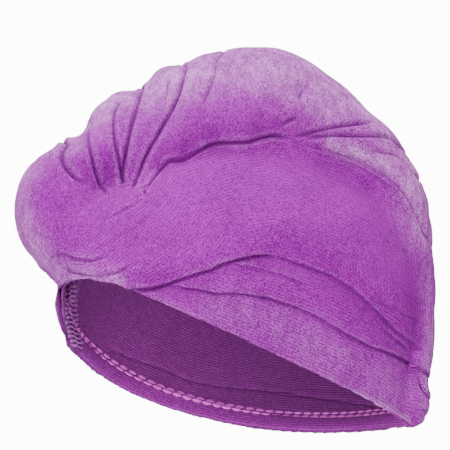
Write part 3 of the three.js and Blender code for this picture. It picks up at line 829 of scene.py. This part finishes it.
class Paint:
    """A material in the making: each method adds a node and gives its output."""

    def __init__(self, name):
        self.material = bpy.data.materials.new(name)
        self.material.use_nodes = True
        self.nodes = self.material.node_tree.nodes
        self.links = self.material.node_tree.links
        self.finish = self.nodes["Principled BSDF"]
        self.place = self.nodes.new("ShaderNodeTexCoord").outputs["Object"]

    def plug(self, socket, value):
        if isinstance(value, (tuple, float, int)):
            socket.default_value = value
        else:
            self.links.new(value, socket)

    def attribute(self, name):
        node = self.nodes.new("ShaderNodeAttribute")
        node.attribute_name = name
        return node.outputs["Fac"]

    def combed(self, turn, stretch):
        node = self.nodes.new("ShaderNodeMapping")
        self.plug(node.inputs["Rotation"], turn)
        self.plug(node.inputs["Scale"], stretch)
        self.plug(node.inputs["Vector"], self.place)
        return node.outputs[0]

    def ramp(self, source, low, high, first=0.0, last=1.0):
        node = self.nodes.new("ShaderNodeMapRange")
        node.interpolation_type = "SMOOTHSTEP"
        names = ("Value", "From Min", "From Max", "To Min", "To Max")
        for name, value in zip(names, (source, low, high, first, last)):
            self.plug(node.inputs[name], value)
        return node.outputs[0]

    def speckle(self, scale, detail, rough, low, high, source=None):
        """Noise with its middle stretched to run from 0 to 1."""
        node = self.nodes.new("ShaderNodeTexNoise")
        names = ("Vector", "Scale", "Detail", "Roughness")
        for name, value in zip(names, (source or self.place, scale, detail, rough)):
            self.plug(node.inputs[name], value)
        return self.ramp(node.outputs[0], low, high)

    def reckon(self, way, one, other=0.0):
        node = self.nodes.new("ShaderNodeMath")
        node.operation = way
        self.plug(node.inputs[0], one)
        self.plug(node.inputs[1], other)
        return node.outputs[0]

    def times(self, one, other):
        return self.reckon("MULTIPLY", one, other)

    def waves(self, name):
        """A wave for each whole number of an attribute."""
        return self.reckon("SINE", self.times(self.attribute(name), 2 * math.pi))

    def weighed_sum(self, *parts):
        total = 0.0
        for source, share in parts:
            total = self.reckon("ADD", self.times(source, share), total)
        return total

    def blend(self, share, one, other):
        node = self.nodes.new("ShaderNodeMix")
        node.data_type = "RGBA"
        for k, value in ((0, share), (6, one), (7, other)):
            self.plug(node.inputs[k], value)
        return node.outputs[2]

    def finished(self, colour, height, strength, distance, **settings):
        bump = self.nodes.new("ShaderNodeBump")
        self.plug(bump.inputs["Strength"], strength)
        self.plug(bump.inputs["Distance"], distance)
        self.plug(bump.inputs["Height"], height)
        self.plug(self.finish.inputs["Normal"], bump.outputs[0])
        self.plug(self.finish.inputs["Base Color"], colour)
        for name, value in settings.items():
            self.plug(self.finish.inputs[name.replace("_", " ")], value)
        return self.material


def velour():
    paint = Paint("plush velour")
    patches = paint.speckle(scale=34, detail=3, rough=0.5, low=0.35, high=0.65)
    mottle = paint.speckle(scale=260, detail=2, rough=0.6, low=0.3, high=0.7)
    tufts = paint.speckle(scale=1250, detail=2, rough=0.7, low=0.34, high=0.66)
    tips = paint.speckle(scale=2500, detail=1, rough=0.6, low=0.34, high=0.66)
    combed = paint.combed(turn=(0.5, 0, 0), stretch=(1, 1, 0.22))
    strokes = paint.speckle(scale=230, detail=3, rough=0.65, low=0.36, high=0.64, source=combed)
    wave = paint.times(paint.waves("row"), paint.attribute("row_strength"))
    wave = paint.times(wave, paint.ramp(mottle, 0.1, 0.9, 0.3, 1.0))

    tone = paint.weighed_sum(
        (patches, 0.10), (mottle, 0.12), (tufts, 0.42), (tips, 0.38), (wave, 0.18)
    )
    tone = paint.ramp(tone, 0.33, 0.68)
    colour = paint.blend(tone, velour_deep, velour_pale)

    # Painted sheen: pale lilac over the places drawn above, broken up by patches and combed
    # strokes.
    pale = paint.times(paint.attribute("painted_sheen"), paint.ramp(patches, 0, 1, 0.7, 1.0))
    pale = paint.times(pale, paint.ramp(strokes, 0, 1, 0.55, 1.05))
    # Painted highlight: the same pale lilac where the cloth bends outward.
    pale = paint.reckon("MAXIMUM", pale, paint.times(paint.attribute("bend"), 0.18))
    pale = paint.times(pale, paint.ramp(tone, 0, 1, 0.2, 1.15))
    colour = paint.blend(pale, colour, painted_sheen_lilac)
    colour = paint.blend(paint.times(paint.attribute("crease"), 0.6), colour, velour_shadow)

    lining_tone = paint.weighed_sum((mottle, 0.15), (tufts, 0.4), (tips, 0.3), (wave, 0.18))
    lining = paint.blend(lining_tone, lining_deep, lining_pale)
    colour = paint.blend(paint.attribute("inside"), colour, lining)
    pile = paint.weighed_sum((tufts, 0.6), (tips, 0.4), (wave, 0.35))
    return paint.finished(
        colour, pile, 0.9, 0.8 * mm, Roughness=0.95, Specular_IOR_Level=0.05,
        Sheen_Weight=0.06, Sheen_Roughness=0.3, Sheen_Tint=(0.95, 0.62, 1.0, 1),
    )


for name, values in (
    ("crease", crease_shade), ("inside", inside), ("bend", bend), ("painted_sheen", painted_sheen),
    ("row", rows), ("row_strength", row_strength),
):
    store(cloth.data, name, values)
cloth.data.materials.clear()
cloth.data.materials.append(velour())
for face in cloth.data.polygons:
    face.use_smooth = True
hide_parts("cap", "twisted_tail")
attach(cloth, "root")
print("velour ready")

# %% [markdown]
# The rim is finished with a knitted band, whose rows run along it, so it stretches
# round the head. The seam at the forehead and the elastic behind get the same kind
# of finish in their own grain. The band is a little plumper on the far side, where
# it covers the cloth's edge.

# %% Hem band
hem_deep = (0.11, 0.004, 0.12, 1)
hem_pale = (0.38, 0.035, 0.40, 1)
hem_shadow = (0.09, 0.01, 0.11, 1)
seam_deep = (0.10, 0.01, 0.12, 1)
seam_pale = (0.34, 0.10, 0.38, 1)
elastic_deep = (0.18, 0.004, 0.22, 1)
elastic_pale = (0.52, 0.03, 0.58, 1)
overlock_line = [(-85.5, -26), (-85, -36), (-84.5, -47), (-83.5, -57), (-81, -67)]


def knit(name, deep, pale, grain, ribs=0.0):
    paint = Paint(name)
    tufts = paint.speckle(scale=grain, detail=2, rough=0.7, low=0.3, high=0.7)
    tips = paint.speckle(scale=grain * 2.2, detail=1, rough=0.6, low=0.3, high=0.7)
    rib = paint.waves("rib")
    tone = paint.weighed_sum((tufts, 0.5), (tips, 0.35), (rib, ribs))
    shade = paint.times(paint.attribute("overlocked"), 0.8)
    colour = paint.blend(shade, paint.blend(tone, deep, pale), hem_shadow)
    height = paint.weighed_sum((tufts, 0.6), (rib, ribs))
    return paint.finished(
        colour, height, 0.6, 0.5 * mm, Roughness=0.9, Specular_IOR_Level=0.08,
        Sheen_Weight=0.05,
    )


def smooth_shaded(piece):
    for face in piece.data.polygons:
        face.use_smooth = True


def dressed(node, name, material, rib_pitch, plump=0.0, levels=2):
    piece = object_of(merged_shape(node), name)
    rounded(piece, levels)
    smooth_shaded(piece)
    places = read_corners(piece.data)
    far_share = smooth_step((20 * mm - places[:, 0]) / (30 * mm))
    places = arched(places + read_facing(piece.data) * (plump * far_share)[:, None])
    write_corners(piece.data, places)
    store(piece.data, "rib", above_rim(places) / rib_pitch)
    away = distance_to(overlock_line, side_view_of(places))
    overlocked = smooth_step((5 * mm - away) / (1.5 * mm)) * (places[:, 0] < 0)
    store(piece.data, "overlocked", overlocked)
    piece.data.materials.append(material)
    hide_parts(node)
    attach(piece, "root")
    return piece


hem_knit = knit("hem knit", hem_deep, hem_pale, 900, ribs=0.22)
seam_knit = knit("seam knit", seam_deep, seam_pale, 700)
elastic_knit = knit("elastic", elastic_deep, elastic_pale, 900, ribs=0.25)
hem = dressed("rim_hem", "hem_band", hem_knit, 1.5 * mm, plump=1.0 * mm)
seam = dressed("forehead_seam", "forehead_seam_ridge", seam_knit, 1.3 * mm)
dressed("nape_loop", "elastic_loop", elastic_knit, 1.6 * mm, levels=3)
print("hem faces", len(hem.data.polygons))

# %% [markdown]
# A coverstitch machine holds the band's raw edge with two rows of needle thread, which
# show as short bright dashes: a heavy row on the band and a finer one above its edge.
# The places come from rays out of the hollow, at a set height above the rim.

# %% Coverstitch
stitch_pitch = 6.0 * mm
stitch_rows = [
    dict(name="heavy row", above=8.6, long=6.0, wide=3.2, thick=1.6, shift=0.0),
    dict(name="fine row", above=11.2, long=5.4, wide=2.0, thick=1.2, shift=0.35),
]
thread_deep = (0.85, 0.05, 0.76, 1)
thread_pale = (1.0, 0.22, 0.92, 1)
thread_grain = 2500


def tree_of(*pieces):
    places, faces = [], []
    for piece in pieces:
        first = len(places)
        places += [Vector(p) for p in read_corners(piece.data)]
        faces += [tuple(first + k for k in f.vertices) for f in piece.data.polygons]
    return BVHTree.FromPolygons(places, faces)


hem_tree = tree_of(hem)
inner_tree = tree_of(hem, cloth)


def rim_line(above, around=360):
    """A closed line on the inner face, a height above the rim's lowest edge."""
    line = []
    for k in range(around):
        turn = 2 * math.pi * k / around
        way = Vector((math.sin(turn), -math.cos(turn), 0))
        low = next(
            (height for height in np.arange(-160, -60, 0.4) * mm
             if hem_tree.ray_cast(Vector((0, -8 * mm, height)), way, 0.2)[0]),
            None,
        )
        if low is not None:
            start = Vector((0, -8 * mm, low + above * mm))
            place, normal, _, _ = inner_tree.ray_cast(start, way, 0.2)
            line.append((*place, *normal))
    line = np.array(line)
    for _ in range(6):
        line = (np.roll(line, 1, 0) + 2 * line + np.roll(line, -1, 0)) / 4
    return line


def stitch_shape():
    """One dash of thread, 1 mm each way, its long sides straighter than a ball's."""
    shape = bmesh.new()
    bmesh.ops.create_uvsphere(shape, u_segments=8, v_segments=6, radius=0.5 * mm)
    for corner in shape.verts:
        share = corner.co.z / (0.5 * mm)
        corner.co.z = 0.5 * mm * math.copysign(abs(share) ** 1.5, share)
    mesh = bpy.data.meshes.new("one stitch")
    shape.to_mesh(mesh)
    shape.free()
    return mesh


def stitch_row(row, into, pattern):
    line = rim_line(row["above"])
    closed = np.vstack([line, line[:1]])
    run = np.concatenate([[0], np.cumsum(np.linalg.norm(np.diff(closed[:, :3], axis=0), axis=1))])
    count = int(run[-1] / stitch_pitch)
    for k in range(count):
        at = run[-1] * (k + row["shift"]) / count
        spot = [np.interp(at % run[-1], run, closed[:, i]) for i in range(6)]
        ahead = [np.interp((at + 1 * mm) % run[-1], run, closed[:, i]) for i in range(3)]
        place, up = Vector(spot[:3]), Vector(spot[3:]).normalized()
        way = (Vector(ahead) - place).normalized()
        across = up.cross(way).normalized()
        up = way.cross(across)
        size = Matrix.Diagonal((row["wide"], row["thick"], row["long"], 1)).to_4x4()
        turn = Matrix((across, up, way)).transposed().to_4x4()
        before = len(into.verts)
        into.from_mesh(pattern)
        into.verts.ensure_lookup_table()
        bmesh.ops.transform(
            into, matrix=Matrix.Translation(place) @ turn @ size, verts=into.verts[before:]
        )
    return count


stitches = bmesh.new()
pattern = stitch_shape()
counts = [stitch_row(row, stitches, pattern) for row in stitch_rows]
bpy.data.meshes.remove(pattern)
thread = knit("stitch thread", thread_deep, thread_pale, thread_grain)
stitch_piece = object_of(stitches, "coverstitch")
smooth_shaded(stitch_piece)
stitch_piece.data.materials.append(thread)
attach(stitch_piece, "root")
print("stitches", counts)

# %% [markdown]
# The seam inside the forehead was closed on an overlock machine, which throws loops
# of thread over the raw edges. One long thread swings from side to side along the
# ridge, and its loops are a little uneven.

# %% Overlock on the forehead seam
overlock_pitch = 2.6 * mm
overlock_reach = 3.2 * mm
overlock_rise = 0.9 * mm
overlock_thread = 0.3 * mm
overlock_deep = (0.5, 0.06, 0.52, 1)
overlock_pale = (0.85, 0.32, 0.9, 1)
loop_steps = 12
loop_wander = 0.15
seam_half = 25 * mm


def thread_tube(path, thickness, sides=6):
    """A closed tube along a line of places."""
    shape = bmesh.new()
    rings = []
    for k, place in enumerate(path):
        way = (path[min(k + 1, len(path) - 1)] - path[max(k - 1, 0)]).normalized()
        one = one - way * one.dot(way) if rings else way.orthogonal()
        one.normalize()
        other = way.cross(one)
        rings.append([
            shape.verts.new(place + (one * math.cos(a) + other * math.sin(a)) * thickness)
            for a in np.arange(sides) * 2 * math.pi / sides
        ])
    for ring, following in zip(rings, rings[1:]):
        for k in range(sides):
            after = (k + 1) % sides
            shape.faces.new((ring[k], ring[after], following[after], following[k]))
    shape.faces.new(rings[0][::-1])
    shape.faces.new(rings[-1])
    bmesh.ops.recalc_face_normals(shape, faces=shape.faces)
    return shape


seam_tree = tree_of(seam, cloth, hem)
middle_line = drawn(overlock_line, overlock_pitch / loop_steps)
path = []
for k, (right, up) in enumerate(middle_line):
    swing = 2 * math.pi * k / loop_steps
    right += overlock_reach * math.cos(swing) * (1 + loop_wander * math.sin(k * 0.71))
    up += overlock_rise * math.sin(swing * 2)
    aim = view_middle + side_right * right + side_up * up
    place, normal, _, _ = seam_tree.ray_cast(eye, (aim - eye).normalized())
    if place is not None and place.x < seam_half:
        path.append(place + normal * overlock_thread * 0.8)
overlock = object_of(thread_tube(path, overlock_thread), "overlock_thread")
smooth_shaded(overlock)
overlock.data.materials.append(
    knit("overlock thread", overlock_deep, overlock_pale, thread_grain)
)
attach(overlock, "root")
print("overlock places", len(path))
